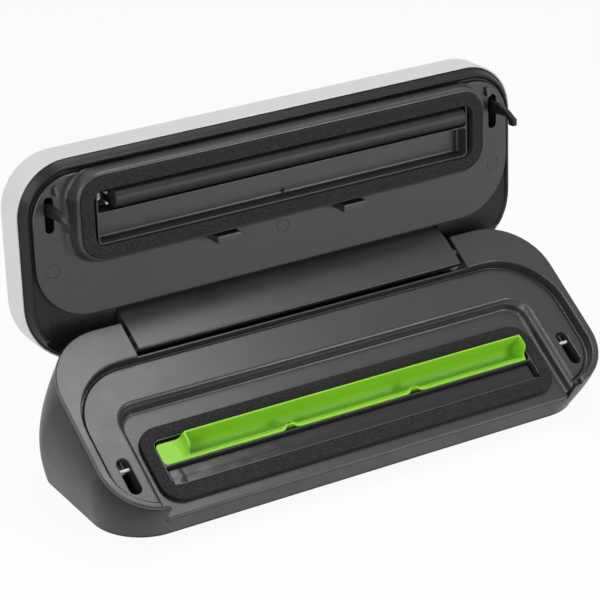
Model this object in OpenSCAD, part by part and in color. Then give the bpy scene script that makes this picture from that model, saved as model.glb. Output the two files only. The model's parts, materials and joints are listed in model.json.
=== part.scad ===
// Vacuum sealer with a wedge base and a lid that stands open on a rear hinge.
// Two local frames share the hinge axis: the deck frame, tilted with the top of
// the base, and the lid frame, which is the deck frame turned open. In both, a
// place is (x, s, h): s runs forward from the hinge axis, h stands up from the deck.

/* [Body] */
// Width across the rim
body_w = 398.4; // [370:0.1:440]
// Slope of the deck, in degrees
deck_tilt = 32; // [26:1:36]
// Height of the hinge axis above the counter
hinge_z = 95.4; // [86:0.1:112]
// Distance from the hinge axis forward to the front of the rim, along the deck
rim_front = 131.6; // [126:0.1:150]
// Distance from the hinge axis back to the rear of the rim, along the deck
rim_rear = 10; // [9:0.1:11]
// Height of the rim above the hinge axis
rim_h = 10.7; // [9.5:0.1:10.8]
// Width of the rim at the sides
rim_w = 5.9; // [5:0.1:8]
// Corner radius of the rim at the rear
rear_r = 43.5; // [30:0.5:50]
// Corner radius of the rim at the front
front_r = 38.5; // [30:0.5:45]
// Depth of the skirt of the top frame below the rim
skirt = 3; // [2:0.1:4]
// Wall of the moulded housings
wall = 2.5; // [2:0.1:3]
// Height of the rubber feet
foot_h = 2; // [1.5:0.1:4]
// Height of the widest part of the body above the counter
waist_z = 34.9; // [28:0.1:40]
// How far the rear wall stands behind the hinge axis
rear_foot = 22.4; // [18:0.1:30]
// How far the front of the underside stands back from the front of the rim
front_tuck = 33.8; // [25:0.1:45]
// How far the sides tuck in under the waist
tuck = 6.5; // [0:0.1:12]
// Clearance between pieces that only sit beside each other
gap = 0.3; // [0.2:0.05:0.5]

/* [Deck and recess] */
// Height of the deck above the hinge axis
deck_h = 4; // [3:0.1:5]
// Width of the groove between the rim and the deck
groove_w = 3; // [2:0.1:4]
// Half the width of the recess at deck level
recess_x = 165.7; // [160:0.1:170]
// Rear edge of the recess, from the hinge axis
recess_s = 48.3; // [44:0.1:50]
// Height of the recess floor
floor_h = -5.2; // [-6:0.1:-5.2]
// How far the recess walls slope in on their way down
recess_draft = 4.5; // [2:0.1:6]

/* [Seal chamber] */
// Half the width of the base gasket
gasket_x = 158.2; // [152:0.1:160]
// Rear edge of the base gasket, from the hinge axis
gasket_s = 66.2; // [64:0.1:68]
// Length of the base gasket along the deck
gasket_l = 58.7; // [56:0.1:60]
// Width of the foam ring at the sides
foam_w = 8.4; // [7:0.1:9]
// Width of the foam ring at the rear
foam_rear = 9.4; // [8:0.1:10]
// Width of the foam ring at the front
foam_front = 12.3; // [10:0.1:13]
// Height at which the two foam rings meet when the lid is locked down
meet_h = -3.2; // [-3.4:0.1:-3]
// Depth of the foam channel below the meeting height
foam_bed = 5.5; // [4:0.1:6]
// Top of the chamber frame and of what lies in it
chamber_h = -2; // [-3:0.1:-2]
// Wall of the chamber frame
chamber_wall = 1; // [0.8:0.1:1]
// Depth of the tray well
well_depth = 12; // [10:0.5:13]
// Middle of the heating bar, from the hinge axis
bar_s = 104.3; // [104:0.1:104.4]
// Space between the end of the tape and the wall of the chamber frame
tape_gap = 2.5; // [2:0.1:8]

/* [Drip tray] */
// Front edge of the tray
tray_front = 95.9; // [93:0.1:95.9]
// Rear edge of the tray
tray_rear = 79.3; // [78:0.1:81]
// Length of the flat grip at the left end
grip_l = 19; // [14:0.1:24]
// Height of the tray's rear wall above the hinge axis
tray_top = 6.5; // [2:0.1:8]
// Wall of the tray
tray_wall = 1.3; // [1:0.1:1.6]

/* [Lid] */
// How far the lid stands open, in degrees
lid_open = 125.5; // [110:0.5:128]
// Height of the lid's lower edge when closed
edge_h = 17.1; // [16:0.1:19]
// Height of the lid's outer face when closed
lid_top = 44.5; // [40:0.5:50]
// How far the lid reaches past the front of the rim
lid_over = 2; // [0.4:0.1:4]
// How far the lid reaches behind the hinge axis
lid_rear = 11.7; // [10:0.1:14]
// Height of the liner panel when closed
panel_h = 8.9; // [8:0.1:10]
// How far the foam ring in the lid reaches past the base gasket at each side
gasket_over = 2.4; // [1:0.1:2.8]
// Rear edge of the foam ring in the lid
lid_gasket_s = 64.4; // [63.5:0.1:66]
// Length of the foam ring in the lid along the panel
lid_gasket_l = 58.1; // [56:0.1:59]
// Depth of the tray clearance in the lid, from its rim
lid_well = 10.2; // [9:0.1:10.5]

/* [Hinge and latch] */
// Half the width of the hinge block
block_x = 131.3; // [100:0.1:134]
// Side gap between the hinge block and the notch
notch_gap = 3.4; // [2:0.1:5]
// Front wall of the hinge notch, from the hinge axis
notch_s = 17.5; // [17.5:0.1:19]
// Radius of the hinge pins
pin_r = 3; // [2.5:0.1:3.5]
// Running clearance around the hinge pins
pin_fit = 0.05; // [0.02:0.01:0.1]
// Distance of the latch hooks from the middle
hook_x = 178; // [176:0.1:178.5]
// Thickness of a latch hook
hook_t = 3.6; // [3:0.1:4]
// Angle through which the latch shaft turns to lock
latch_turn = 10; // [8:1:10]

/* [Hidden] */
$fn = 72;
half_w = body_w / 2;
front_foot = rim_front - front_tuck;      // front of the underside, from the hinge axis
inner_x = half_w - rim_w;                 // inner edge of the rim
inner_front = rim_front - 4.3;
inner_rear = notch_s + 0.9;
rib_h = 8.6;                              // top of the thin rib before the hinge notch
deck_x = inner_x - groove_w;
deck_front = inner_front - groove_w;
deck_rear = inner_rear + 1.8;
groove_h = deck_h - 2;
lip_x = recess_x - 2.7;
lid_lean = lid_open - 90 - deck_tilt;
shaft_s = 102.3;
shaft_h = 25.5;
shaft_r = 2.5;
lever_l = 24;                             // reach of the latch lever before its shaft
plate_t = 3;
corner_dx = max(0, recess_x - half_w + front_r);
front_s = rim_front - front_r + sqrt(front_r * front_r - corner_dx * corner_dx);
front_reach = front_s * cos(deck_tilt) + rim_h * sin(deck_tilt);
lever_h = shaft_h + lever_l * sin(latch_turn) + (lid_top - shaft_h) * cos(latch_turn);
lever_s = shaft_s + lever_l * cos(latch_turn) - (lid_top - shaft_h) * sin(latch_turn);
back_reach = lever_h * cos(lid_lean) + lever_s * sin(lid_lean);
hinge_y = (front_reach - back_reach) / 2;
body_z = foot_h - hinge_z;                // underside of the housing in the hinge frame
waist = waist_z - hinge_z;
waist_front = rim_front - 25;
lip_y = -110 - (rim_front - 131.6) * cos(deck_tilt);
bed_h = meet_h - foam_bed;                // bottom of the foam channel
bed_wall = 1.7;
gasket_front = gasket_s + gasket_l;
chamber_x = gasket_x - foam_w - gap;
chamber_s0 = gasket_s + foam_rear + gap;
chamber_s1 = gasket_front - foam_front - gap;
well_front = tray_front + gap;            // tray well ends at the divider
divider = 1;
flange_h = bed_h - bed_wall;
tape_h = -5.7;
tape_x = chamber_x - tape_gap;
ribbon_x = tape_x - 14;                   // ends of the heating ribbon
terminal_x = tape_x - 9;
port_x = chamber_x - 29.5;
bar_half = 6.8;
slot_s0 = 85.1;
slot_s1 = 112.6;
slot_w = 8.6;
catch_s = 91.5;
catch_h = -10.5;
pin_s = 92.5;
pin_h = 0.5;
pin_stem = 1;                             // radius of the stem of a switch pin
pin_room = 1.8;                           // travel of a switch pin, and a little more
motor_r = 15;
pump_z = body_z + 30;
pump_y = -10;
board_z = body_z + wall + 6;
lid_x = half_w - 0.6;
lid_front = rim_front + lid_over;
edge_wall = 1.6;                          // shell wall beside the liner
liner_x = lid_x - edge_wall - gap;
liner_front = lid_front - edge_wall - gap;
liner_rear = -lid_rear + edge_wall + gap;
border_h = 14.6;                          // face of the liner's border
lip_h = rim_h + gap;                      // lip that lands above the rim
lip_in = inner_x - 0.7;
lip_front = inner_front + 1.3;
panel_x = inner_x - 3.1;
panel_rear = 22.3;
panel_front = inner_front - 3.3;
border_t = 4;
lid_rim_h = -1.6;
lid_bed_h = 1.5;
lid_gasket_x = gasket_x + gasket_over;
lid_ring_x = gasket_x - 6.8;              // inner edge of the lid's foam ring at the sides
lid_chamber_x = lid_ring_x - 2.9;
lid_chamber_s0 = 73.9;
lid_chamber_s1 = 112.7;
lid_divider_s = 95.3;
channel_h = 11.2;
strip_r = 7;
strip_h = tape_h + gap + strip_r;
strip_x0 = 12.9 - lid_chamber_x;
strip_x1 = lid_chamber_x - 3.5;
prong_x = 10.1 - lid_chamber_x;
chamber_screw_x = 5.5 - lid_chamber_x;
block_screw_x = block_x - 9.3;
notch_x = block_x + notch_gap;
arm_s0 = 98.2;
arm_s1 = 106.8;
barb_s = 94.7;
hook_tip = -18.9;
barb_l = 6;
lid_slot_s0 = 86.2;
lid_slot_s1 = 111.2;
lid_slot_w = 6.4;
frame_h = -3;                             // face of the raised frame around the lid's foam
lid_gasket_front = lid_gasket_s + lid_gasket_l;
stop_h = floor_h + gap;                   // the bag stops end just above the recess floor
// a place of the deck frame, given in the lid frame while the lid is open
function in_lid(s, h) = [s * cos(lid_open) + h * sin(lid_open), h * cos(lid_open) - s * sin(lid_open)];
block_flush = rim_h - 0.1;
block_sides = [[19.8, 14.4], in_lid(-8.5, block_flush), in_lid(13, block_flush),
    in_lid(13.4, block_flush - 0.5), in_lid(13.4, block_flush - 4), in_lid(9, -2), in_lid(-3, -10.5),
    [-9.2, edge_h - 1.5], [-9.2, edge_h]];
block_room = [[16.5, 12.5], [10.5, 1], in_lid(10.5, 7.5), in_lid(7, -0.5), in_lid(-2.5, -7.5),
    [-6.7, 15], [-2, 40], [16.5, 40]];
button_x = [-48, 0, 48];
button_s = 44;
button_r = 9;
lens_x = [-24, 24, 72];
lens_r = 1.6;
panel_plate = 0.8;
grey = [0.27, 0.27, 0.28];
dark = [0.16, 0.16, 0.17];

// ---- frames and outlines ------------------------------------------------
module deck() translate([0, hinge_y, hinge_z]) rotate([deck_tilt, 0, 0]) children();
module lid() translate([0, hinge_y, hinge_z]) rotate([deck_tilt - lid_open, 0, 0]) children();
module level() translate([0, hinge_y, hinge_z]) children();
module at(x, s, h) translate([x, -s, h]) children();
module both() { children(); mirror([1, 0, 0]) children(); }

// Rounded outline from s0 to s1, with its own radius at the rear and the front
module outline(hx, s0, s1, rr, rf) {
    translate([-hx, -(s1 - rf)]) square([2 * hx, s1 - rf - s0 - rr]);
    translate([-(hx - rr), -(s0 + rr)]) square([2 * (hx - rr), rr]);
    translate([-(hx - rf), -s1]) square([2 * (hx - rf), rf]);
    for (m = [-1, 1]) {
        translate([m * (hx - rr), -(s0 + rr)]) circle(rr);
        translate([m * (hx - rf), -(s1 - rf)]) circle(rf);
    }
}
module slab(hx, s0, s1, rr, rf, h0, h1)
    translate([0, 0, h0]) linear_extrude(h1 - h0) outline(hx, s0, s1, rr, rf);
// Box from corner to corner in (x, s, h)
module block(x0, x1, s0, s1, h0, h1) translate([x0, -s1, h0]) cube([x1 - x0, s1 - s0, h1 - h0]);
// Profile given in (s, h), drawn out along X
module along_x(x0, x1, points)
    translate([x0, 0, 0]) rotate([90, 0, 90]) linear_extrude(x1 - x0)
        polygon([for (p = points) [-p[0], p[1]]]);
module rod_x(x0, x1, r) translate([x0, 0, 0]) rotate([0, 90, 0]) cylinder(h = x1 - x0, r = r);
module rod_s(s0, s1, r) translate([0, -s0, 0]) rotate([90, 0, 0]) cylinder(h = s1 - s0, r = r);
module torus(big, wire) rotate_extrude() translate([big, 0]) circle(wire, $fn = 24);
// Close-wound coil standing on its foot
module coil(big, wire, height, turns)
    for (i = [0 : turns - 1])
        translate([0, 0, wire + i * (height - 2 * wire) / (turns - 1)]) torus(big, wire);
module screw(r, length, head) {
    cylinder(h = length, r = r);
    difference() {
        translate([0, 0, -head * 0.6]) cylinder(h = head * 0.6, r = head);
        for (a = [0, 90]) rotate([0, 0, a])
            translate([-head * 0.6, -0.5, -head * 0.6]) cube([head * 1.2, 1, 0.9]);
    }
}

// ---- base: shells --------------------------------------------------------
module wedge(inset, low, high) {
    hull() {
        deck() slab(half_w - inset, -rim_rear + inset, rim_front - inset, rear_r - inset,
            front_r - inset, high - 0.5, high);
        level() translate([0, 0, waist]) linear_extrude(0.5)
            outline(half_w - inset, -rear_foot + inset, waist_front - inset, 26 - inset, 39 - inset);
        level() translate([0, 0, low]) linear_extrude(0.5)
            outline(half_w - tuck - inset, -rear_foot + inset, front_foot - inset, 20 - inset, 37 - inset);
    }
}
// Room that the hinge block sweeps, open to the rear
module notch(side, front, depth)
    deck() block(-block_x - side, block_x + side, -60, front, depth, 40);
// Everything above the recess floor and between its side walls
module front_opening(low) {
    deck() block(-lip_x, lip_x, 60, 170, low, 40);
    level() translate([-lip_x, lip_y - 40, floor_z]) cube([2 * lip_x, 40, 90]);
}
floor_z = -80.5;                          // lower edge of the front band
module boss_spots() {
    for (x = [-150, 0, 150]) translate([x, -front_foot + 11, 0]) children();
    for (x = [-168, 0, 168]) translate([x, rear_foot - 11, 0]) children();
}
module lower_housing() color(dark) {
    difference() {
        union() {
            difference() {
                wedge(0, body_z, rim_h - skirt);
                wedge(wall, body_z - 1, rim_h + 20);
                deck() block(-300, 300, -60, 200, rim_h - skirt - 0.01, 60);
            }
            // trough behind the deck in which the hinge block turns
            intersection() {
                wedge(0.5, body_z, rim_h - skirt);
                deck() difference() {
                    block(-notch_x - wall, notch_x + wall, -40, notch_s + wall, -22 - wall, rim_h - skirt);
                    block(-notch_x, notch_x, -60, notch_s, -22, 40);
                    block(-300, 300, inner_rear - 2 - gap, 60, groove_h - 2 - gap, 40);
                    block(-notch_x, notch_x, notch_s - 1, notch_s + wall + 1, -8, 40);
                }
            }
            level() boss_spots() translate([0, 0, body_z + wall + gap]) cylinder(h = 9, r = 4.2);
            level() for (x = [-150, 0, 150])
                translate([x - 1.5, -front_foot - 0.8, body_z + wall + gap]) cube([3, 9, 6]);
            level() for (x = [-168, 0, 168])
                translate([x - 1.5, rear_foot - 9, body_z + wall + gap]) cube([3, 7.4, 8]);
        }
        front_opening(floor_h - skirt);
        notch(notch_gap, notch_s, -22);
        level() boss_spots() translate([0, 0, body_z - 1]) cylinder(h = 11, r = 1.6);
        inlet_place() cylinder(h = 20, r = 7.2, center = true);
        // pockets for the hinge brackets
        deck() both() block(notch_x - 1, notch_x + 12.3, -7.3, 10.3, -9.3, 30);
        // room for the inner wall and the recess of the top frame
        deck() slab(inner_x + 2.2, inner_rear - 2.2, inner_front + 2.2, 46, 34, groove_h - 3.5, 40);
        deck() intersection() {
            recess_cut(2 + gap, floor_h - 2 - gap);
            block(-300, 300, 100, 200, -30, 40);
        }
    }
}
module bottom_cover() color(dark) {
    level() difference() {
        translate([0, 0, body_z]) linear_extrude(wall)
            outline(half_w - tuck - wall - gap, -rear_foot + wall + gap, front_foot - wall - gap, 17, 34);
        boss_spots() {
            translate([0, 0, body_z - 1]) cylinder(h = 9, r = 1.9);
            translate([0, 0, body_z - 0.1]) cylinder(h = 2.1, r = 3.6);
        }
        for (i = [0 : 9]) translate([60 + i * 8, -60, body_z - 1]) cube([4, 34, 9]);
    }
    // posts for the circuit board and the cradle for the pump
    level() for (x = [62, 148], y = [-34, 4]) translate([x, y, body_z + wall]) cylinder(h = 6 - gap, r = 3);
    level() for (x = [-122, -78]) translate([x, 0, 0]) difference() {
        translate([-2, pump_y - 18, body_z + wall]) cube([4, 36, pump_z - body_z - wall - 8]);
        translate([0, pump_y, pump_z]) rod_x(-3, 3, motor_r + (x == -78 ? 4 : 2) + gap);
    }
}
module recess_cut(grow, low) {
    hull() {
        slab(recess_x + grow, recess_s - grow, 190, 13 + grow, 5, deck_h, deck_h + 0.1);
        slab(recess_x + grow - recess_draft, recess_s - grow + recess_draft, 190, 9 + grow, 5,
            low, low + 0.1);
    }
}
module top_frame() color(grey) {
    difference() {
        union() {
            deck() difference() {
                union() {
                    slab(half_w, -rim_rear, rim_front, rear_r, front_r, rim_h - skirt, rim_h);
                    slab(inner_x + 1.4, inner_rear - 1.4, inner_front + 1.4, 46, 34.4,
                        groove_h - 2, rim_h - skirt);
                }
                slab(inner_x, inner_rear, inner_front, 45, 33, groove_h, 40);
            }
            deck() slab(deck_x, deck_rear, deck_front, 42, 30, deck_h - 2.5, deck_h);
            deck() intersection() {
                recess_cut(2, floor_h - 2);
                block(-300, 300, 0, rim_front + 4, floor_h - 2, deck_h);
            }
            // channel for the foam ring, hanging under the recess floor
            deck() slab(gasket_x + bed_wall + 0.2, gasket_s - bed_wall - 0.2,
                gasket_front + bed_wall + 0.2, 17, 17, flange_h, floor_h - 1);
            // wells that lead the latch hooks through the deck
            deck() both() block(hook_x - slot_w / 2 - 1.4, hook_x + slot_w / 2 + 1.4,
                slot_s0 - 1.4, slot_s1 + 1.4, -13, deck_h - 2);
        }
        deck() difference() {
            union() {
                recess_cut(0, floor_h);
                block(-recess_x, recess_x, 70, 190, deck_h, 40);
            }
            block(-300, 300, 0, 200, -60, floor_h);
        }
        // front edge of the floor, between the two horns of the rim
        level() translate([-lip_x, lip_y - 40, -120]) cube([2 * lip_x, 40, 160]);
        deck() both() block(lip_x, 300, rim_front, 200, -60, 60);
        deck() slab(gasket_x + gap, gasket_s - gap, gasket_front + gap, 15.4, 15.4,
            bed_h, floor_h + 1);
        deck() slab(chamber_x + gap, chamber_s0 - gap, chamber_s1 + gap, 6, 6, -40, 20);
        deck() both() slab_slot(hook_x, slot_s0, slot_s1, slot_w, -40, 20);
        deck() both() catch_block();
        // slots in which the stems of the switch pins ride down
        deck() both() block(hook_x - pin_stem - gap, hook_x + pin_stem + gap, slot_s0 - 5, slot_s0 + 1,
            pin_h - pin_stem - pin_room, pin_h + pin_stem + gap);
        notch(notch_gap, notch_s, -60);
        deck() block(-notch_x, notch_x, notch_s - 1, inner_rear + 0.1, rib_h, 40);
    }
}
module slab_slot(x, s0, s1, w, h0, h1) {
    r = 2.4;
    block(x - w / 2, x + w / 2, s0 + r, s1 - r, h0, h1);
    block(x - w / 2 + r, x + w / 2 - r, s0, s1, h0, h1);
    for (sx = [-1, 1], s = [s0 + r, s1 - r]) at(x + sx * (w / 2 - r), s, h0) cylinder(h = h1 - h0, r = r);
}

// ---- base: seal chamber --------------------------------------------------
module ring(x, s0, s1, r, side, rear, front, ri, h0, h1) difference() {
    slab(x, s0, s1, r, r, h0, h1);
    slab(x - side, s0 + rear, s1 - front, ri, ri, h0 - 1, h1 + 1);
}
module base_gasket() color([0.09, 0.09, 0.1])
    deck() ring(gasket_x, gasket_s, gasket_front, 15, foam_w, foam_rear, foam_front, 6,
        bed_h, meet_h - gap / 2);
module chamber_frame() color(grey) deck() difference() {
    union() {
        slab(chamber_x, chamber_s0, chamber_s1, 5.7, 5.7, chamber_h - well_depth - 1.5, chamber_h);
        slab(chamber_x + 3, chamber_s0 - 3, chamber_s1 + 3, 6, 6, flange_h - 1.5, flange_h);
    }
    slab(chamber_x - chamber_wall, chamber_s0 + chamber_wall, well_front, 4, 2,
        chamber_h - well_depth, 10);
    block(-chamber_x + chamber_wall, chamber_x - chamber_wall, well_front + divider,
        chamber_s1 - chamber_wall, tape_h - 7, 10);
    at(port_x, (chamber_s0 + well_front) / 2, -40) cylinder(h = 40, r = 3.3);
    for (x = [-terminal_x, terminal_x]) at(x, bar_s, -40) cylinder(h = 40, r = 1.7);
}
module heat_bar() color([0.75, 0.73, 0.68]) deck() difference() {
    block(-tape_x + 1.5, tape_x - 1.5, bar_s - 5, bar_s + 5, tape_h - 7, tape_h - 1.1);
    for (x = [-terminal_x, terminal_x]) at(x, bar_s, -40) cylinder(h = 60, r = 1.7);
    for (x = [-terminal_x, terminal_x]) at(x, bar_s, tape_h - 3.4) cylinder(h = 60, r = 3.4);
}
module heating_ribbon() color([0.7, 0.6, 0.45]) deck() {
    block(-ribbon_x, ribbon_x, bar_s - 1.2, bar_s + 1.2, tape_h - 1.1, tape_h - 0.75);
    for (x = [-ribbon_x, ribbon_x - 3])
        block(x, x + 3, bar_s - 2.6, bar_s + 2.6, tape_h - 1.1, tape_h - 0.75);
}
module seal_tape() color([0.2, 0.2, 0.21]) deck() difference() {
    block(-tape_x, tape_x, bar_s - bar_half, bar_s + bar_half, tape_h - 5, tape_h);
    block(-300, 300, bar_s - bar_half + 0.4, bar_s + bar_half - 0.4, -60, tape_h - 0.5);
}
module ribbon_terminals() color([0.8, 0.66, 0.35])
    deck() for (x = [-terminal_x, terminal_x]) at(x, bar_s, 0) {
    translate([0, 0, tape_h - 3.4]) cylinder(h = 1.6, r = 3.2);
    translate([0, 0, tape_h - 17]) cylinder(h = 14, r = 1.6);
    translate([0, 0, chamber_h - well_depth - 4]) cylinder(h = 2.3, r = 3.2, $fn = 6);
}
module drip_tray() color([0.55, 0.8, 0.2]) deck() {
    x0 = -chamber_x + chamber_wall + gap;
    x1 = chamber_x - chamber_wall - 3;
    scoop = x0 + grip_l;
    low = chamber_h - well_depth + gap;
    difference() {
        along_x(scoop, x1, [[tray_rear, tray_top], [tray_rear + 6, tray_top],
            [tray_front - 1.8, chamber_h], [tray_front, chamber_h], [tray_front, low], [tray_rear, low]]);
        block(scoop + tray_wall, x1 - tray_wall, tray_rear + tray_wall, tray_front - tray_wall,
            low + tray_wall, 40);
        // two pouring notches in the front edge
        for (t = [0.288, 0.656]) at(scoop + (x1 - scoop) * t, tray_front + 2, chamber_h + 1)
            rotate([-90, 0, 0]) cylinder(h = 6, r = 3.4);
    }
    slab_tab(x0, scoop + 0.4, tray_rear + 0.2, tray_front, chamber_h - 1.3, chamber_h);
}
module slab_tab(x0, x1, s0, s1, h0, h1) {
    r = 3;
    block(x0 + r, x1, s0, s1, h0, h1);
    block(x0, x0 + r + 0.1, s0 + r, s1 - r, h0, h1);
    for (s = [s0 + r, s1 - r]) at(x0 + r, s, h0) cylinder(h = h1 - h0, r = r);
}

// ---- base: hinge and latch ------------------------------------------------
module hinge_brackets() color([0.6, 0.6, 0.62]) deck() both() difference() {
    union() {
        block(notch_x, notch_x + 12, -4, 10, -9, 2);
        at(notch_x, 0, 0) rod_x(0, 12, 7);
    }
    rod_x(0, 300, pin_r);
}
module hinge_pins() color([0.75, 0.75, 0.77]) deck() both()
    rod_x(block_x - 16, notch_x + 12, pin_r);
module hinge_springs() color([0.7, 0.7, 0.72]) deck() both()
    translate([block_x + 0.25, 0, 0]) rotate([0, 90, 0]) coil(pin_r + 1.2, 0.8, notch_gap - 0.5, 3);
module catch_block() block(hook_x - 3.9, hook_x + 3.9, slot_s0 - 1, catch_s, catch_h, catch_h + 4);
module latch_catches() color([0.55, 0.55, 0.57]) deck() both() catch_block();
module lid_switches() color([0.1, 0.1, 0.12]) deck() both() {
    block(hook_x - 5, hook_x + 5, slot_s0 - 8, slot_s0 - 1.4, pin_h - 9, pin_h - pin_stem - pin_room);
    block(hook_x - 3, hook_x + 3, slot_s0 - 7, slot_s0 - 3, pin_h - 12, pin_h - 9);
}
module switch_pin() {
    at(hook_x - 3.6, pin_s, pin_h) rod_x(0, 7.2, 1.2);
    at(hook_x, slot_s0 - 4.2, pin_h) rod_s(0, pin_s - slot_s0 + 4.2, pin_stem);
}
module switch_pin_left() color("white") deck() mirror([1, 0, 0]) switch_pin();
module switch_pin_right() color("white") deck() switch_pin();

// ---- base: pump and power --------------------------------------------------
module pump_motor() color([0.7, 0.7, 0.72]) level() translate([-136, pump_y, pump_z]) {
    difference() {
        union() {
            rod_x(0, 44, motor_r);
            rod_x(-3, 0.1, 4);
        }
        rod_x(4, 60, motor_r - 2);
        rod_x(-2.8, 60, 1.55);
    }
}
module pump_body() color([0.2, 0.2, 0.22]) level() translate([-91.7, pump_y, pump_z]) difference() {
    union() {
        rod_x(0, 30, motor_r + 2);
        translate([6, -13, 0]) cube([40, 26, 22]);
        translate([40, 0, 12]) rod_x(0, 14, 3);
    }
    rod_x(-1, 26, motor_r - 3);
    translate([10, -9, -1]) cube([30, 18, 17]);
    translate([40, 0, 12]) rod_x(-2, 20, 1.8);
}
module pump_crank() color([0.78, 0.78, 0.8]) level() translate([-136, pump_y, pump_z]) {
    rod_x(-2.5, 60, 1.5);
    rod_x(8, 36, 11);
    translate([0, 0, 0]) rod_x(50, 58, 8);
    translate([0, 2.5, 0]) rod_x(58, 64, 4);
}
module pump_mounts() color([0.1, 0.1, 0.1]) level() translate([0, pump_y, pump_z]) for (x = [-122, -78])
    translate([x, 0, 0]) difference() {
        rod_x(-2, 2, motor_r + (x == -78 ? 4 : 2));
        rod_x(-3, 3, motor_r + (x == -78 ? 2 : 0) + 0.05);
        translate([-3, -30, -8]) cube([6, 60, 60]);
    }
module vacuum_hose() color([0.75, 0.75, 0.72, 0.8]) level() {
    y = pump_y;
    z = pump_z + 12;
    difference() {
        union() {
            translate([-37.4, y, z]) rod_x(0, 60, 5);
            translate([22.6, y - 20, z]) rotate_extrude(angle = 90) translate([20, 0]) circle(5);
        }
        translate([-38.4, y, z]) rod_x(0, 62, 3.1);
        translate([22.6, y - 20, z]) rotate_extrude(angle = 90) translate([20, 0]) circle(3.1);
    }
}
module vacuum_port() color(dark) deck() difference() {
    union() {
        at(port_x, (chamber_s0 + well_front) / 2, chamber_h - well_depth - 10) cylinder(h = 8.5, r = 4.6);
        at(port_x, (chamber_s0 + well_front) / 2, chamber_h - well_depth - 1.5) cylinder(h = 1.4, r = 3.2);
    }
    at(port_x, (chamber_s0 + well_front) / 2, -60) cylinder(h = 60, r = 2.2);
}
module power_board() color([0.15, 0.4, 0.2]) level() difference() {
    translate([54, -40, board_z]) cube([102, 50, 1.6]);
    for (x = [62, 148], y = [-34, 4]) translate([x, y, board_z - 1]) cylinder(h = 4, r = 1.6);
}
module transformer() color([0.45, 0.3, 0.2]) level() {
    translate([78, -30, board_z + 1.6]) cube([34, 30, 4]);
    translate([80, -28, board_z + 5.6]) cube([30, 26, 20]);
    translate([126, -20, board_z + 1.6]) cylinder(h = 22, r = 7);
}
module inlet_place() level() translate([110, rear_foot, body_z + 22]) rotate([90, 0, 0]) children();
module power_inlet() color([0.08, 0.08, 0.08]) inlet_place() difference() {
    union() {
        cylinder(h = 12, r = 7);
        translate([0, 0, -1.8]) cylinder(h = 1.8, r = 9.5);
        translate([0, 0, wall]) cylinder(h = 1.8, r = 9.5);
    }
    cylinder(h = 60, r = 3.6, center = true);
}
module base_screws() color([0.7, 0.7, 0.72]) level() boss_spots()
    translate([0, 0, body_z + 2]) screw(1.55, 8, 3.2);
module foot_spots() for (x = [-160, 160], y = [-front_foot + 24, rear_foot - 28])
    translate([x, y, 0]) children();
module rubber_feet() color([0.08, 0.08, 0.08]) level() foot_spots()
    translate([0, 0, body_z - foot_h]) {
        cylinder(h = foot_h, r = 7);
    }

// ---- lid: shells -----------------------------------------------------------
module lid_slab(i, h0, h1) slab(lid_x - i, -lid_rear + i, lid_front - i, 46 - i, 38 - i, h0, h1);
module lid_form(inset, low, top)
    hull() {
        lid_slab(inset, low, top - 7);
        lid_slab(inset + 1.6, top - 2.4, top - 2.3);
        lid_slab(inset + 6, top - 0.1, top);
    }
module lid_screw_spots()
    for (q = [[lid_ring_x + 3.3, 84], [60, 69], [60, 117.8]])
        for (m = [-1, 1]) at(m * q[0], q[1], 0) children();
module lid_shell() color([0.9, 0.9, 0.91]) lid() difference() {
    union() {
        difference() {
            lid_form(0, edge_h, lid_top);
            lid_form(3, edge_h - 1, lid_top - 3);
            slab(lid_x - edge_wall, -lid_rear + edge_wall, lid_front - edge_wall, 45, 36.5,
                edge_h - 1, edge_h + 3);
        }
        lid_screw_spots() translate([0, 0, lid_bed_h + 4 + gap])
            cylinder(h = lid_top - lid_bed_h - 6, r = 3.6);
        for (x = [-70, 70]) for (s = [32, 56]) at(x, s, lid_top - 7.2) cylinder(h = 5, r = 3);
    }
    lid_screw_spots() cylinder(h = 20, r = 1.5);
    block(-31, 31, shaft_s - 6, shaft_s + lever_l + 1.2, lid_top - 4, lid_top + 1);
    for (x = button_x) at(x, button_s, lid_top - 4) cylinder(h = 5, r = button_r + 0.4);
    for (x = lens_x) at(x, button_s, lid_top - 4) cylinder(h = 5, r = lens_r + gap);
}
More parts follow.
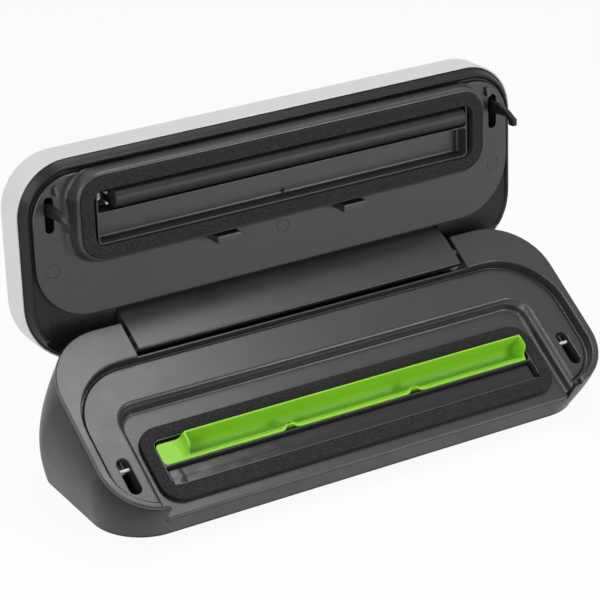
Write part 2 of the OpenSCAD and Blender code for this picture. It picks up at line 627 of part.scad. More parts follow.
module lid_liner() color(grey) lid() difference() {
    union() {
        // border that closes the shell, and the lip that lands on the rim
        slab(liner_x, liner_rear, liner_front, 44, 36, border_h, border_h + border_t);
        difference() {
            slab(lip_in + 1.8, 0, lip_front + 1.8, 46, 34.8, lip_h, border_h + 1);
            slab(lip_in, 1, lip_front, 44, 33, lip_h - 1, border_h + 2);
            block(-300, 300, -60, 17, 0, 40);
        }
        slab(panel_x, panel_rear, panel_front, 41, 29.5, panel_h, border_h + 1);
        // raised frame around the foam ring
        hull() {
            slab(lid_gasket_x + 1.1, lid_gasket_s - 2, lid_gasket_front + 2, 18, 18,
                frame_h, frame_h + 0.1);
            slab(lid_gasket_x + 3, lid_gasket_s - 2.8, lid_gasket_front + 2.8, 19.7, 19.7, 1, 1.1);
            slab(lid_gasket_x + 3.5, lid_gasket_s - 3.2, lid_gasket_front + 2.8, 20, 19.7,
                panel_h + 1, panel_h + 1.1);
        }
    }
    // hollow back of the panel and of the frame
    slab(panel_x - 2, panel_rear + 2, panel_front - 2, 39, 27.5, panel_h + 2, 60);
    difference() {
        slab(lid_gasket_x + 0.6, lid_gasket_s - 0.6, lid_gasket_front + 0.6, 17, 17,
            lid_bed_h + 2, 60);
        lid_screw_spots() cylinder(h = lid_bed_h + 4, r = 5);
    }
    block(-lid_chamber_x - gap, lid_chamber_x + gap, lid_chamber_s0 - gap, lid_chamber_s1 + gap,
        -20, 40);
    slab(lid_gasket_x + gap, lid_gasket_s - gap, lid_gasket_front + gap, 17.3, 17.3,
        -20, lid_bed_h);
    both() slab_slot(hook_x, lid_slot_s0, lid_slot_s1, lid_slot_w, -1, 30);
    lid_screw_spots() {
        cylinder(h = 60, r = 1.8);
        cylinder(h = lid_bed_h + 2.1, r = 3.5);
    }
    // way through for the hinge block, and room around the rear edge of the base
    block(-block_x - gap, block_x + gap, -20, 20.4, -20, 40);
    rod_x(-300, 300, norm([rim_rear, rim_h]) + 0.5);
}
// Posts on the back of the liner that carry the latch shaft
module shaft_posts() color(grey) lid() both() difference() {
    block(lid_gasket_x - 9, lid_gasket_x - 1.6, shaft_s - 6, shaft_s + 6, lid_bed_h + 2, shaft_h + 5.5);
    at(0, shaft_s, shaft_h) rod_x(lid_gasket_x - 20, lid_gasket_x + 10, shaft_r + 0.06);
}
module lid_chamber() color(grey) lid() difference() {
    slab(lid_chamber_x, lid_chamber_s0, lid_chamber_s1, 3, 3, lid_rim_h, channel_h + 1.6);
    slab(lid_chamber_x - 1.2, lid_chamber_s0 + 1.2, lid_divider_s, 2.5, 2,
        -20, lid_rim_h + lid_well);
    block(-lid_chamber_x - 1, lid_chamber_x - 1.2, lid_divider_s + 1.5, lid_chamber_s1 - 1,
        -20, channel_h);
    at(0, 77.6, -20) cylinder(h = 60, r = 1.7);
    at(chamber_screw_x, bar_s, 0) cylinder(h = 60, r = 1.7);
}
module lid_gasket() color([0.09, 0.09, 0.1]) lid()
    ring(lid_gasket_x, lid_gasket_s, lid_gasket_front, 17, lid_gasket_x - lid_ring_x,
        lid_chamber_s0 - lid_gasket_s - gap, lid_gasket_front - lid_chamber_s1 - gap, 5,
        meet_h + gap / 2, lid_bed_h);
module hinge_block() color(grey) lid() difference() {
    union() {
        along_x(-block_x, block_x, block_sides);
        along_x(-block_x + 1, block_x - 1, [[19.8, edge_h - 3], [-4, edge_h - 3], [-4, 24], [19.8, 24]]);
    }
    along_x(-block_x + 18, block_x - 18, block_room);
    rod_x(-300, 300, pin_r + pin_fit);
    for (x = [-block_screw_x, block_screw_x]) at(x, 10, 0) cylinder(h = 60, r = 1.6);
}
module bag_stops() color(dark) lid() for (x = [-50.8, 50.8])
    difference() {
        block(x - 9.4, x + 9.4, 55.3, lid_gasket_s - 3.2 - gap, stop_h, panel_h);
        block(x - 7.6, x + 7.6, 57.1, lid_gasket_s - 5.3, stop_h + 2, panel_h + 1);
    }
module hook_guides() color(dark) lid() both()
    along_x(hook_x - 6.6, hook_x - 3.8, [[lid_slot_s1 + 0.6, panel_h], [lid_slot_s1 + 7, panel_h],
        [lid_slot_s1 + 7, panel_h - 2], [lid_slot_s1 + 0.6, panel_h - 4]]);
module relief_valve() color([0.12, 0.12, 0.13]) lid() difference() {
    at(0, 77.6, lid_rim_h + lid_well + 0.2) {
        cylinder(h = 12, r = 1.6);
        translate([0, 0, channel_h + 1.6 - lid_rim_h - lid_well - 0.2]) cylinder(h = 6, r = 3.4);
    }
    at(0, 77.6, -20) cylinder(h = 70, r = 0.9);
}
module chamber_screws() color([0.8, 0.8, 0.82]) lid()
    at(chamber_screw_x, bar_s, channel_h) screw(1.6, 6, 3.2);
// Two prongs that keep the end of the bar in line
module bar_prongs() color([0.85, 0.85, 0.86]) lid() {
    for (s = [bar_s - 3.7, bar_s + 3.7]) at(prong_x, s, 3) cylinder(h = channel_h - 3, r = 0.9);
}
module bar_springs() color([0.75, 0.75, 0.77]) lid() for (x = [-100, 0, 100])
    at(x, bar_s, channel_h) mirror([0, 0, 1]) coil(2.2, 0.5, 5.4, 5);
module bar_holder() color(dark) lid() difference() {
    block(strip_x0, strip_x1, bar_s - strip_r, bar_s + strip_r, strip_h, 8.8);
    for (x = [-100, 0, 100]) at(x, bar_s, strip_h + 1) cylinder(h = 10, r = 3.2);
}
module pressure_strip() color([0.2, 0.2, 0.2]) lid() intersection() {
    at(0, bar_s, strip_h) rod_x(strip_x0, strip_x1, strip_r);
    block(-200, 200, 0, 200, -20, strip_h);
}

// ---- lid: latch --------------------------------------------------------------
module latch_shaft() color([0.75, 0.75, 0.77]) lid()
    at(0, shaft_s, shaft_h) rod_x(-hook_x - 4, hook_x + 4, shaft_r);
module hook() difference() {
    union() {
        at(hook_x - hook_t / 2, shaft_s, shaft_h) rod_x(0, hook_t, 5.4);
        along_x(hook_x - hook_t / 2, hook_x + hook_t / 2, [[arm_s0, shaft_h],
            [arm_s0, hook_tip + barb_l], [barb_s, hook_tip + barb_l], [barb_s, hook_tip + 1.5],
            [barb_s + 3, hook_tip], [arm_s1 - 3, hook_tip], [arm_s1, hook_tip + 4], [arm_s1, shaft_h]]);
    }
    at(0, shaft_s, shaft_h) rod_x(100, 300, shaft_r);
}
module hook_right() color(dark) lid() hook();
module hook_left() color(dark) lid() mirror([1, 0, 0]) hook();
module latch_lever() color([0.9, 0.9, 0.91]) lid() difference() {
    at(0, shaft_s, shaft_h) rotate([-latch_turn, 0, 0]) {
        rod_x(-8, 8, 5);
        translate([-8, -4, 0]) cube([16, 6, lid_top - shaft_h - plate_t]);
        translate([-30, -lever_l, lid_top - shaft_h - plate_t]) cube([60, lever_l + 2, plate_t]);
    }
    at(0, shaft_s, shaft_h) rod_x(-40, 40, shaft_r);
}

// ---- lid: controls --------------------------------------------------------------
module control_panel() color([0.12, 0.12, 0.13]) lid() difference() {
    block(-92, 92, 26, 62, lid_top, lid_top + panel_plate);
    for (x = button_x) at(x, button_s, lid_top - 1) cylinder(h = 5, r = button_r + 0.4);
    for (x = lens_x) at(x, button_s, lid_top - 1) cylinder(h = 5, r = lens_r + gap);
}
module control_board() color([0.15, 0.4, 0.2]) lid() difference() {
    block(-84, 84, 28, 60, lid_top - 8.8, lid_top - 7.2);
    for (x = [-70, 70]) for (s = [32, 56]) at(x, s, 0) cylinder(h = 60, r = 1.3);
}
module indicator_lenses() color([0.5, 0.8, 0.5]) lid() for (x = lens_x)
    at(x, button_s, lid_top - 7.2) cylinder(h = 7.2 + panel_plate + 0.3, r = lens_r);
module push_button(x) at(x, button_s, lid_top - 3.6) {
    cylinder(h = 3.6 + panel_plate + 1.4, r = button_r);
    translate([0, 0, -2.5]) cylinder(h = 2.6, r = 2);
}
module vacuum_button() color([0.8, 0.8, 0.8]) lid() push_button(button_x[0]);
module seal_button() color([0.8, 0.8, 0.8]) lid() push_button(button_x[1]);
module mode_button() color([0.8, 0.8, 0.8]) lid() push_button(button_x[2]);
module lid_screws() color([0.7, 0.7, 0.72]) lid() {
    lid_screw_spots() translate([0, 0, lid_bed_h + 2.1]) screw(1.5, 13, 3.2);
}
module block_screws() color([0.7, 0.7, 0.72]) lid() for (x = [-block_screw_x, block_screw_x])
    at(x, 10, 26) mirror([0, 0, 1]) screw(1.55, 9, 3.2);

lower_housing();
bottom_cover();
top_frame();
chamber_frame();
base_gasket();
heat_bar();
heating_ribbon();
seal_tape();
ribbon_terminals();
drip_tray();
hinge_brackets();
hinge_pins();
hinge_springs();
latch_catches();
lid_switches();
switch_pin_left();
switch_pin_right();
pump_motor();
pump_body();
pump_crank();
pump_mounts();
vacuum_hose();
vacuum_port();
power_board();
transformer();
power_inlet();
base_screws();
rubber_feet();
lid_shell();
lid_liner();
shaft_posts();
lid_chamber();
lid_gasket();
hinge_block();
bag_stops();
hook_guides();
relief_valve();
chamber_screws();
bar_prongs();
bar_springs();
bar_holder();
pressure_strip();
latch_shaft();
hook_left();
hook_right();
latch_lever();
control_board();
control_panel();
indicator_lenses();
vacuum_button();
seal_button();
mode_button();
lid_screws();
block_screws();
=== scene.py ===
# %% [markdown]
# # A vacuum sealer with its lid open
# This file dresses a countertop vacuum sealer. The machine itself, with its joints, is
# already made and is loaded as a fixed frame. Here every part that can be seen gets a
# finer mesh or a proper finish. Lengths in the maker's notes are millimetres, and Blender
# works in metres, so one scale factor turns one into the other.

# %% Load the frame
import bpy, bmesh, json, math
from mathutils import Matrix, Vector

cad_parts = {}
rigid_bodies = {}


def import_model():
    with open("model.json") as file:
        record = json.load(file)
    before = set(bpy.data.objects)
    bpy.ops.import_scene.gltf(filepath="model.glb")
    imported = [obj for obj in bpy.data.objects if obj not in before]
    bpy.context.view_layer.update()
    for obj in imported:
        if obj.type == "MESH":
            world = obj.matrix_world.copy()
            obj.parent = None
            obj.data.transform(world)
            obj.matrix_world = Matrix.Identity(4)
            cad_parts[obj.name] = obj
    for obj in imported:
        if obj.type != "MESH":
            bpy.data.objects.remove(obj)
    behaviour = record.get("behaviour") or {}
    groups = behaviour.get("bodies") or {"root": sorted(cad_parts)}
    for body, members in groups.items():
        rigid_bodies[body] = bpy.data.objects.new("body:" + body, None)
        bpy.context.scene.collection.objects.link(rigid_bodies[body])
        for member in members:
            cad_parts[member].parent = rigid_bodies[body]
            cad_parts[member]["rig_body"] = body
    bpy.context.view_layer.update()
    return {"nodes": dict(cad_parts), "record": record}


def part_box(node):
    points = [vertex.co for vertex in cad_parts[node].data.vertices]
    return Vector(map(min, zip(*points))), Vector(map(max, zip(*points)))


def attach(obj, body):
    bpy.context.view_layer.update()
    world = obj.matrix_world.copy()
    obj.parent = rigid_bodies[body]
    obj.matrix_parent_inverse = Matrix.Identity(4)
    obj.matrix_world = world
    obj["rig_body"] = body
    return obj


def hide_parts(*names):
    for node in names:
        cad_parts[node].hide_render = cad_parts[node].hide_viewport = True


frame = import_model()

slot_of = {s["node"]: s["material_slot"] for s in frame["record"]["subparts"]}

# %% [markdown]
# ## Two places to stand
# The deck slopes, and the lid stands open on a hinge behind it. It is easiest to model both
# lying flat: x to the right, s forward from the hinge axis, h up from the deck. A matrix
# then tips the finished piece into place. Both matrices turn about the hinge pins, so
# whatever is modelled with the same s and h really meets when the lid is shut.

# %% The hinge axis and the three working planes
MM = 0.001
TILT, OPEN = 32.0, 125.5
low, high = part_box("hinge_pins")
hinge = Vector((0, (low.y + high.y) / 2, (low.z + high.z) / 2))


def plane(angle):
    turned = Matrix.Rotation(math.radians(angle), 4, "X")
    return Matrix.Translation(hinge) @ turned @ Matrix.Scale(MM, 4)


DECK, LID, LEVEL = plane(TILT), plane(TILT - OPEN), plane(0)
print("hinge axis", tuple(round(v, 4) for v in hinge))

# %% [markdown]
# ## Outlines and skins
# Nearly every moulding here is a rounded rectangle that changes a little from level to
# level. An outline function gives the same number of points at every level, so a skin can
# be stretched over the outlines one quad at a time. Rounded edges then come from a few
# outlines set along a quarter circle, which is cleaner than bevelling afterwards.

# %% Outline, quarter circle and skin
STEPS = 12
# The five inner angles of a quarter circle in steps of 18 degrees, without its start.
FIFTHS = [math.radians(18 * k) for k in range(1, 6)]


def outline(half, s0, s1, r_rear, r_front, h, steps=STEPS):
    """A rounded rectangle from -half to half and from s0 to s1, at height h."""
    points = []
    for cx, cs, r, start in ((-half, s0, r_rear, 180), (half, s0, r_rear, 90),
                             (half, s1, r_front, 0), (-half, s1, r_front, -90)):
        r = max(r, 0.02)
        mx, ms = cx - math.copysign(r, cx), (cs + r if cs == s0 else cs - r)
        for i in range(steps + 1):
            a = math.radians(start - 90 * i / steps)
            points.append(Vector((mx + r * math.cos(a), -ms + r * math.sin(a), h)))
    return points


def quarter(x, y, r, a0, a1, steps=5):
    """Points along an arc about (x, y), from angle a0 to a1 in degrees."""
    return [(x + r * math.cos(math.radians(a0 + (a1 - a0) * i / steps)),
             y + r * math.sin(math.radians(a0 + (a1 - a0) * i / steps))) for i in range(steps + 1)]


def skin(name, rings, place, loop=False):
    """Stretch a surface over rings of points. A loop closes on itself, and anything else is capped."""
    mesh = bmesh.new()
    rows = [[mesh.verts.new(p) for p in ring] for ring in rings]
    pairs = list(zip(rows, rows[1:])) + ([(rows[-1], rows[0])] if loop else [])
    for a, b in pairs:
        n = len(a)
        for i in range(n):
            mesh.faces.new((a[i], a[(i + 1) % n], b[(i + 1) % n], b[i]))
    if not loop:
        mesh.faces.new(rows[0][::-1])
        mesh.faces.new(rows[-1])
    mesh.transform(place)
    bmesh.ops.remove_doubles(mesh, verts=mesh.verts, dist=0.000002)
    bmesh.ops.recalc_face_normals(mesh, faces=mesh.faces)
    data = bpy.data.meshes.new(name)
    mesh.to_mesh(data)
    mesh.free()
    piece = bpy.data.objects.new(name, data)
    bpy.context.scene.collection.objects.link(piece)
    return piece


def around(half, s0, s1, r_rear, r_front, profile):
    """One outline for each (inset, height) of a profile."""
    return [outline(half - i, s0 + i, s1 - i, r_rear - i, r_front - i, h) for i, h in profile]


# %% [markdown]
# ## Cutting and smoothing
# Slots, wells and notches are cut with solid tools, as a machinist would. The manifold
# Boolean solver is quick and leaves clean edges. Afterwards the faces are shaded smooth
# except where they meet at a real corner, and face-weighted normals keep the large flats
# flat, so that reflections run straight over them.

# %% Cut, round over and smooth
def combine(piece, how, *tools):
    for tool in tools:
        step = piece.modifiers.new("combine", "BOOLEAN")
        step.object, step.solver, step.operation = tool, "MANIFOLD", how
        settle(piece)
        bpy.data.objects.remove(tool)
    return piece


def cut(piece, *tools):
    return combine(piece, "DIFFERENCE", *tools)


def finish(piece, material, node, body):
    """Give a modelled piece its material and let it ride in place of the frame's node."""
    piece.data.materials.clear()
    piece.data.materials.append(material)
    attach(piece, body)
    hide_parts(node)
    print(node, len(piece.data.polygons), "faces")
    return piece


def settle(piece):
    deps = bpy.context.evaluated_depsgraph_get()
    deps.update()
    data = bpy.data.meshes.new_from_object(piece.evaluated_get(deps))
    piece.modifiers.clear()
    piece.data = data
    return piece


def round_over(piece, width, steps=2, angle=42):
    """Bevel the real corners. Faces with many corners become triangles first, because a
    bevel would bridge their holes."""
    mesh = bmesh.new()
    mesh.from_mesh(piece.data)
    bmesh.ops.triangulate(mesh, faces=[f for f in mesh.faces if len(f.verts) > 4])
    mesh.to_mesh(piece.data)
    mesh.free()
    edge = piece.modifiers.new("edge", "BEVEL")
    edge.width, edge.segments, edge.limit_method = width * MM, steps, "ANGLE"
    edge.angle_limit, edge.use_clamp_overlap = math.radians(angle), False
    edge.loop_slide, edge.face_strength_mode = False, "FSTR_ALL"
    return settle(piece)


def smooth(piece, angle=33):
    """Shade smooth, but keep every edge sharper than the angle."""
    mesh = bmesh.new()
    mesh.from_mesh(piece.data)
    for face in mesh.faces:
        face.smooth = True
    for edge in mesh.edges:
        corner = len(edge.link_faces) == 2 and edge.calc_face_angle() > math.radians(angle)
        edge.smooth = not corner
    mesh.to_mesh(piece.data)
    mesh.free()
    flat = piece.modifiers.new("flats", "WEIGHTED_NORMAL")
    flat.keep_sharp, flat.weight, flat.mode = True, 70, "FACE_AREA"
    flat.use_face_influence = True
    return piece


def moved(rings, x):
    return [[p + Vector((x, 0, 0)) for p in ring] for ring in rings]


def block(name, x0, x1, s0, s1, h0, h1, place, r=0.02, steps=1):
    middle, half = (x0 + x1) / 2, (x1 - x0) / 2
    rings = [outline(half, s0, s1, r, r, h, steps) for h in (h0, h1)]
    return skin(name, moved(rings, middle), place)


def prism(name, x0, x1, points, place):
    """A side view in (s, h), drawn out along x."""
    return skin(name, [[Vector((x, -s, h)) for s, h in points] for x in (x0, x1)], place)


def flared(name, half, s0, s1, r, low, top, edge, place, middle=0, foot=0.0):
    """A cutting tool whose mouth opens in a quarter round, so the cut's edge comes out rounded."""
    profile = [(foot + 0.01, low)] if foot else [(0, low)]
    if foot:
        profile += [(foot - foot * math.sin(a), low + foot - foot * math.cos(a))
                    for a in [math.radians(15 * k) for k in range(1, 7)]]
    profile += [(0, top - edge)]
    profile += [(-edge + edge * math.cos(a), top - edge + edge * math.sin(a)) for a in FIFTHS]
    profile += [(-edge, top + 30)]
    return skin(name, moved(around(half, s0, s1, r, r, profile), middle), place)


def disc(name, x, s, r, h0, h1, place, steps=10):
    corner = r - 0.001
    rings = [outline(r, s - r, s + r, corner, corner, h, steps) for h in (h0, h1)]
    return skin(name, moved(rings, x), place)


# The lid's inner face looks the other way, so tools that flare towards it are flipped in h.
LID_FACE = LID @ Matrix.Scale(-1, 4, (0, 0, 1))


# %% [markdown]
# ## Finishes
# A few plastics, foam, two rubbers, metal and a coated tape make up all that shows. Moulded
# plastic is never perfectly even: the mould is spark-eroded to a fine grain, and handling
# polishes it in patches. So each plastic has a grain of tiny bumps and a slow change in
# roughness, both from noise that sits in the object's own space. On the two dark plastics
# the shader also softens the corners, because a moulded corner is never quite sharp.

# %% A moulded plastic
def shader(name):
    """An empty material, its node tree, its Principled shader and the object's coordinates."""
    material = bpy.data.materials.new(name)
    material.use_nodes = True
    tree = material.node_tree
    tree.nodes.clear()
    out = tree.nodes.new("ShaderNodeOutputMaterial")
    body = tree.nodes.new("ShaderNodeBsdfPrincipled")
    tree.links.new(body.outputs[0], out.inputs[0])
    place = tree.nodes.new("ShaderNodeTexCoord")
    return material, tree, body, place.outputs["Object"]


def noise(tree, where, scale, detail=2.0, rough=0.5):
    node = tree.nodes.new("ShaderNodeTexNoise")
    node.inputs["Scale"].default_value = scale
    node.inputs["Detail"].default_value = detail
    node.inputs["Roughness"].default_value = rough
    tree.links.new(where, node.inputs["Vector"])
    return node.outputs[0]


def spread(tree, value, low, high, start=0.3, end=0.7):
    """Stretch the middle of a noise, from start to end, over the range low to high."""
    node = tree.nodes.new("ShaderNodeMapRange")
    for k, v in zip(("From Min", "From Max", "To Min", "To Max"), (start, end, low, high)):
        node.inputs[k].default_value = v
    tree.links.new(value, node.inputs[0])
    return node.outputs[0]


def tint(tree, value, dark, light):
    node = tree.nodes.new("ShaderNodeMix")
    node.data_type = "RGBA"
    node.inputs[6].default_value, node.inputs[7].default_value = (*dark, 1), (*light, 1)
    tree.links.new(value, node.inputs[0])
    return node.outputs[2]


def bump(tree, body, height, distance, strength=1.0, edge=0.0):
    """Tiny bumps in metres, over normals that are rounded at corners by edge in millimetres."""
    node = tree.nodes.new("ShaderNodeBump")
    if edge:
        soft = tree.nodes.new("ShaderNodeBevel")
        soft.samples, soft.inputs["Radius"].default_value = 4, edge * MM
        tree.links.new(soft.outputs[0], node.inputs["Normal"])
    node.inputs["Distance"].default_value = distance
    node.inputs["Strength"].default_value = strength
    tree.links.new(height, node.inputs["Height"])
    tree.links.new(node.outputs[0], body.inputs["Normal"])


def mottled(tree, body, where, scale, detail, dark, light):
    patches = spread(tree, noise(tree, where, scale, detail), 0, 1)
    tree.links.new(tint(tree, patches, dark, light), body.inputs["Base Color"])


def moulded(name, colour, rough, grain=0.000004, scale=1500, change=0.04, gloss=0.5, edge=0.0):
    material, tree, body, where = shader(name)
    dark = [c * (1 - change) for c in colour]
    light = [min(1, c * (1 + change)) for c in colour]
    mottled(tree, body, where, 22, 4, dark, light)
    handled = spread(tree, noise(tree, where, 60, 5, 0.6), rough - 0.02, rough + 0.05)
    tree.links.new(handled, body.inputs["Roughness"])
    body.inputs["Specular IOR Level"].default_value = gloss
    bump(tree, body, noise(tree, where, scale, 2), grain, 0.6, edge)
    return material


# The charcoal is the real colour of the latch hooks and the frame's dark parts, and painted shade on the
# wedge and the liner's border, which are the same plastic as the grey deck and panel.
charcoal_and_painted_shade = moulded("charcoal plastic", (0.011, 0.011, 0.0114), 0.33, gloss=0.25, edge=0.6)
grey = moulded("warm grey plastic", (0.029, 0.0291, 0.0299), 0.3, gloss=0.55, edge=0.6)
black = moulded("black plastic", (0.012, 0.012, 0.013), 0.45)
white = moulded("white plastic", (0.66, 0.665, 0.675), 0.3, grain=0.000002, change=0.01)
pale = moulded("button plastic", (0.42, 0.42, 0.43), 0.4)

# %% Foam, rubber, steel, tape and the tray's green
def foam_rubber(name, dark, light):
    material, tree, body, where = shader(name)
    cells = noise(tree, where, 1500, 3, 0.7)
    pores = spread(tree, cells, 0, 1, 0.42, 0.64)
    tree.links.new(tint(tree, pores, dark, light), body.inputs["Base Color"])
    body.inputs["Roughness"].default_value = 0.85
    body.inputs["Specular IOR Level"].default_value = 0.25
    bump(tree, body, cells, 0.00012, 0.8)
    return material


def metal(name, colour, rough):
    material, tree, body, where = shader(name)
    body.inputs["Metallic"].default_value = 1.0
    body.inputs["Base Color"].default_value = (*colour, 1)
    worn = spread(tree, noise(tree, where, 900, 3), rough - 0.06, rough + 0.1)
    tree.links.new(worn, body.inputs["Roughness"])
    bump(tree, body, noise(tree, where, 1800, 2), 0.000006, 0.5)
    return material


foam = foam_rubber("closed-cell foam", (0.003, 0.003, 0.0032), (0.045, 0.045, 0.047))
rubber = moulded("black rubber", (0.02, 0.02, 0.021), 0.6, grain=0.00003)
strip_rubber = moulded("pressure rubber", (0.016, 0.016, 0.0164), 0.45, grain=0.00002, gloss=0.35)
steel = metal("plated steel", (0.62, 0.62, 0.63), 0.28)
brass = metal("brass", (0.75, 0.55, 0.28), 0.3)


def tray_plastic(name, colour):
    material, tree, body, where = shader(name)
    lighter = [min(1, c * 1.06) for c in colour]
    mottled(tree, body, where, 30, 3, colour, lighter)
    tree.links.new(spread(tree, noise(tree, where, 70, 4), 0.36, 0.46), body.inputs["Roughness"])
    body.inputs["Specular IOR Level"].default_value = 0.35
    body.inputs["Subsurface Weight"].default_value = 0.25
    body.inputs["Subsurface Radius"].default_value = (0.6, 1.0, 0.15)
    body.inputs["Subsurface Scale"].default_value = 0.002
    bump(tree, body, noise(tree, where, 1800, 2), 0.000006, 0.5)
    return material


green = tray_plastic("bright green plastic", (0.262, 0.584, 0.028))


def coated_tape(name):
    material, tree, body, where = shader(name)
    body.inputs["Base Color"].default_value = (0.016, 0.016, 0.0165, 1)
    body.inputs["Specular IOR Level"].default_value = 0.4
    stretch = tree.nodes.new("ShaderNodeMapping")
    stretch.inputs["Scale"].default_value = (0.12, 1, 1)
    tree.links.new(where, stretch.inputs[0])
    creases = noise(tree, stretch.outputs[0], 420, 4, 0.6)
    tree.links.new(spread(tree, creases, 0.14, 0.26), body.inputs["Roughness"])
    bump(tree, body, creases, 0.00008, 0.5)
    return material


tape = coated_tape("coated tape")

# %% [markdown]
# ## The top of the base
# On the real machine one moulding makes the rim, a narrow groove, the deck and the sunken
# bay for the bag. It could be modelled as one height map, but steep walls would smear. Here
# it is a solid of stacked outlines, with a quarter circle wherever the mould has a soft
# edge, and the bay is then cut out of it with a tool whose mouth flares. The bay runs out
# at the front over a low lip, which is joined on last.

# %% Rim, groove and deck
RIM_X, RIM_REAR, RIM_FRONT, RIM_TOP, DECK_TOP = 199.2, -10.0, 131.6, 10.7, 4.0
rim = around(RIM_X, RIM_REAR, RIM_FRONT, 43.5, 38.5,
             [(3.2, -9.5), (3.2, 7.6), (0.5, 7.6), (0.15, 7.75), (0, 8.0)]
             + [(1.1 - x, y) for x, y in quarter(0, RIM_TOP - 1.1, 1.1, 0, 90, 6)])
groove = around(193.3, 18.4, 127.3, 45, 33,
                [(-1.1 + x, y) for x, y in quarter(0, RIM_TOP - 1.1, 1.1, 90, 0, 6)]
                + [(0.1, 3.0)] + [(0.9 - x, y) for x, y in quarter(0, 2.9, 0.8, 0, -90, 4)])
deck_rings = around(190.3, 20.2, 124.3, 42, 30,
                    [(-0.9, 2.1), (-0.35, 2.2), (-0.05, 2.6), (0, 2.9)]
                    + [(1.1 - x, y) for x, y in quarter(0, DECK_TOP - 1.1, 1.1, 0, 90, 6)][1:])
top = skin("deck_frame", rim + groove + deck_rings, DECK)
print("rim and deck", len(top.data.vertices), "points")

# %% Cut the bay, the hinge notch, the gasket channel and the latch slots
BAY_HALF, BAY_REAR, BAY_CORNER, LIP_TOP = 165.7, 48.3, 14, -5.2
NOTCH_X, SLOT_X, LIP_X = 134.7, 178, 162.6
bay_profile = ([(-2.6, 30)] + quarter(-2.6, DECK_TOP - 2.6, 2.6, 90, 12, 6)
               + [(1.1, 0.4), (1.6, -0.2), (1.9, -1.5), (0.9 + 1.2, -3.2), (1.3 + 1.2, -4.2),
                  (2.0 + 1.2, -4.85), (3.0 + 1.2, LIP_TOP)])
bay_rings = [outline(BAY_HALF - i, BAY_REAR + i, 190, BAY_CORNER - (i if i < 0 else i * 0.4), 4, h)
             for i, h in bay_profile]
bay_tool = skin("bay", bay_rings, DECK)
notch = prism("notch", -NOTCH_X, NOTCH_X,
              [(-60, -40), (17.4, -40), (17.4, 8.6), (19.3, 8.6), (19.3, 40), (-60, 40)], DECK)
channel = block("channel", -158.6, 158.6, 65.8, 123.6, -8.6, 20, DECK, 15.5, 10)
horns = flared("horns", 168.3, 121.0, 190.0, 0.5, DECK_TOP + 0.5, RIM_TOP, 2.4, DECK)
slots = [flared("slot", 4.3, 85.1, 112.6, 4.2, -20, DECK_TOP, 0.7, DECK, middle=x)
         for x in (-SLOT_X, SLOT_X)]
through = block("through", -149.8, 149.8, 75.6, 112.6, -40, 20, DECK, 6, 6)
cut(top, bay_tool, notch, channel, through, horns, *slots)
lip = skin("lip", [outline(LIP_X - i, 118, 131.35 - i, 0.5, 1.5 - i, h) for i, h in
                   [(0, -8.0), (0, -6.0), (0.1, -5.6), (0.35, -5.32), (0.8, LIP_TOP)]], DECK)
combine(top, "UNION", lip)
smooth(top)
finish(top, grey, "top_frame", "base")

# %% [markdown]
# ## The wedge
# The housing under the deck is a wedge with soft corners. It is widest at a belt a third of
# the way up, and tucks in below it. A hull of three outlines would leave a crease at the
# belt, so each point of the outline runs down the wall on a smooth curve through the three.

# %% Skin of the wedge
LEVELS, WALL_STEPS = 14, 16
WEDGE_REAR, BELT_LOW, FOOT_HALF, FOOT_FRONT, FOOT_LOW = -22.4, -60.5, 192.7, 97.8, -91.8
BELT_SHARE = 0.62


def on_world(ring, place):
    return [place @ p for p in ring]


def foot_ring(i, drop):
    return outline(FOOT_HALF - i, WEDGE_REAR + i, FOOT_FRONT - i, 20 - i, 37 - i,
                   FOOT_LOW - drop, WALL_STEPS)


def wall_levels(i):
    """The three outlines that shape the wall, each drawn in by the same inset."""
    upper = outline(RIM_X - 0.15 - i, RIM_REAR + 0.15 + i, RIM_FRONT - 0.15 - i, 43.4 - i, 38.4 - i,
                    7.4, WALL_STEPS)
    belt = outline(199.2 - i, WEDGE_REAR + i, 106.6 - i, 26 - i, 39 - i, BELT_LOW, WALL_STEPS)
    under = foot_ring(i, 0)
    a, b, c = on_world(upper, DECK), on_world(belt, LEVEL), on_world(under, LEVEL)
    # At the front the rim is lower than the belt, so there the belt drops to half height.
    return a, [Vector((q.x, q.y, min(q.z, (p.z + r.z) / 2))) for p, q, r in zip(a, b, c)], c


def wall_point(a, b, c, t):
    """A parabola through three heights of the wall: t is 0 at the rim and 1 at the foot."""
    u = BELT_SHARE
    la = (t - u) * (t - 1) / (u * 1)
    lb = t * (t - 1) / (u * (u - 1))
    lc = t * (t - u) / (1 - u)
    return a * la + b * lb + c * lc


def wall_rows(inset, first, last):
    return [[wall_point(a, b, c, k / LEVELS) for a, b, c in zip(*wall_levels(inset))]
            for k in range(first, last)]


wall_rings = wall_rows(0, 0, LEVELS + 1)
foot = [on_world(foot_ring(1.6 - 1.6 * math.cos(a), 1.6 * math.sin(a)), LEVEL) for a in FIFTHS]
wedge, whole = [skin(name, wall_rings + foot, Matrix.Identity(4))
                for name in ("wedge_housing", "whole wedge")]
FRONT_X = 163.0
deck_room = block("room", -NOTCH_X, NOTCH_X, -60, 17.3, -22, 60, DECK)
front_room = block("front", -FRONT_X, FRONT_X, 60, 190, -8.1, 60, DECK)
lip_room = block("lip room", -FRONT_X, FRONT_X, 110, 190, -80.5, 60, LEVEL)
mouth = outline(RIM_X - 2.65, RIM_REAR + 2.65, RIM_FRONT - 2.65, 40.9, 35.9, 30, WALL_STEPS)
hollow = skin("hollow", [on_world(mouth, DECK)] + wall_rows(2.5, 0, LEVELS + 3), Matrix.Identity(4))
cut(wedge, hollow)
trough_wall = block("trough wall", -137.2, 137.2, -60, 19.9, -24.6, -9.6, DECK)
combine(trough_wall, "INTERSECT", whole)
combine(wedge, "UNION", trough_wall)
cut(wedge, deck_room, front_room, lip_room)
smooth(wedge, 40)
# The wedge takes the darker charcoal as painted shade: it is the same plastic as the grey deck, darkened
# because its flanks face away from the light.
finish(wedge, charcoal_and_painted_shade, "lower_housing", "base")

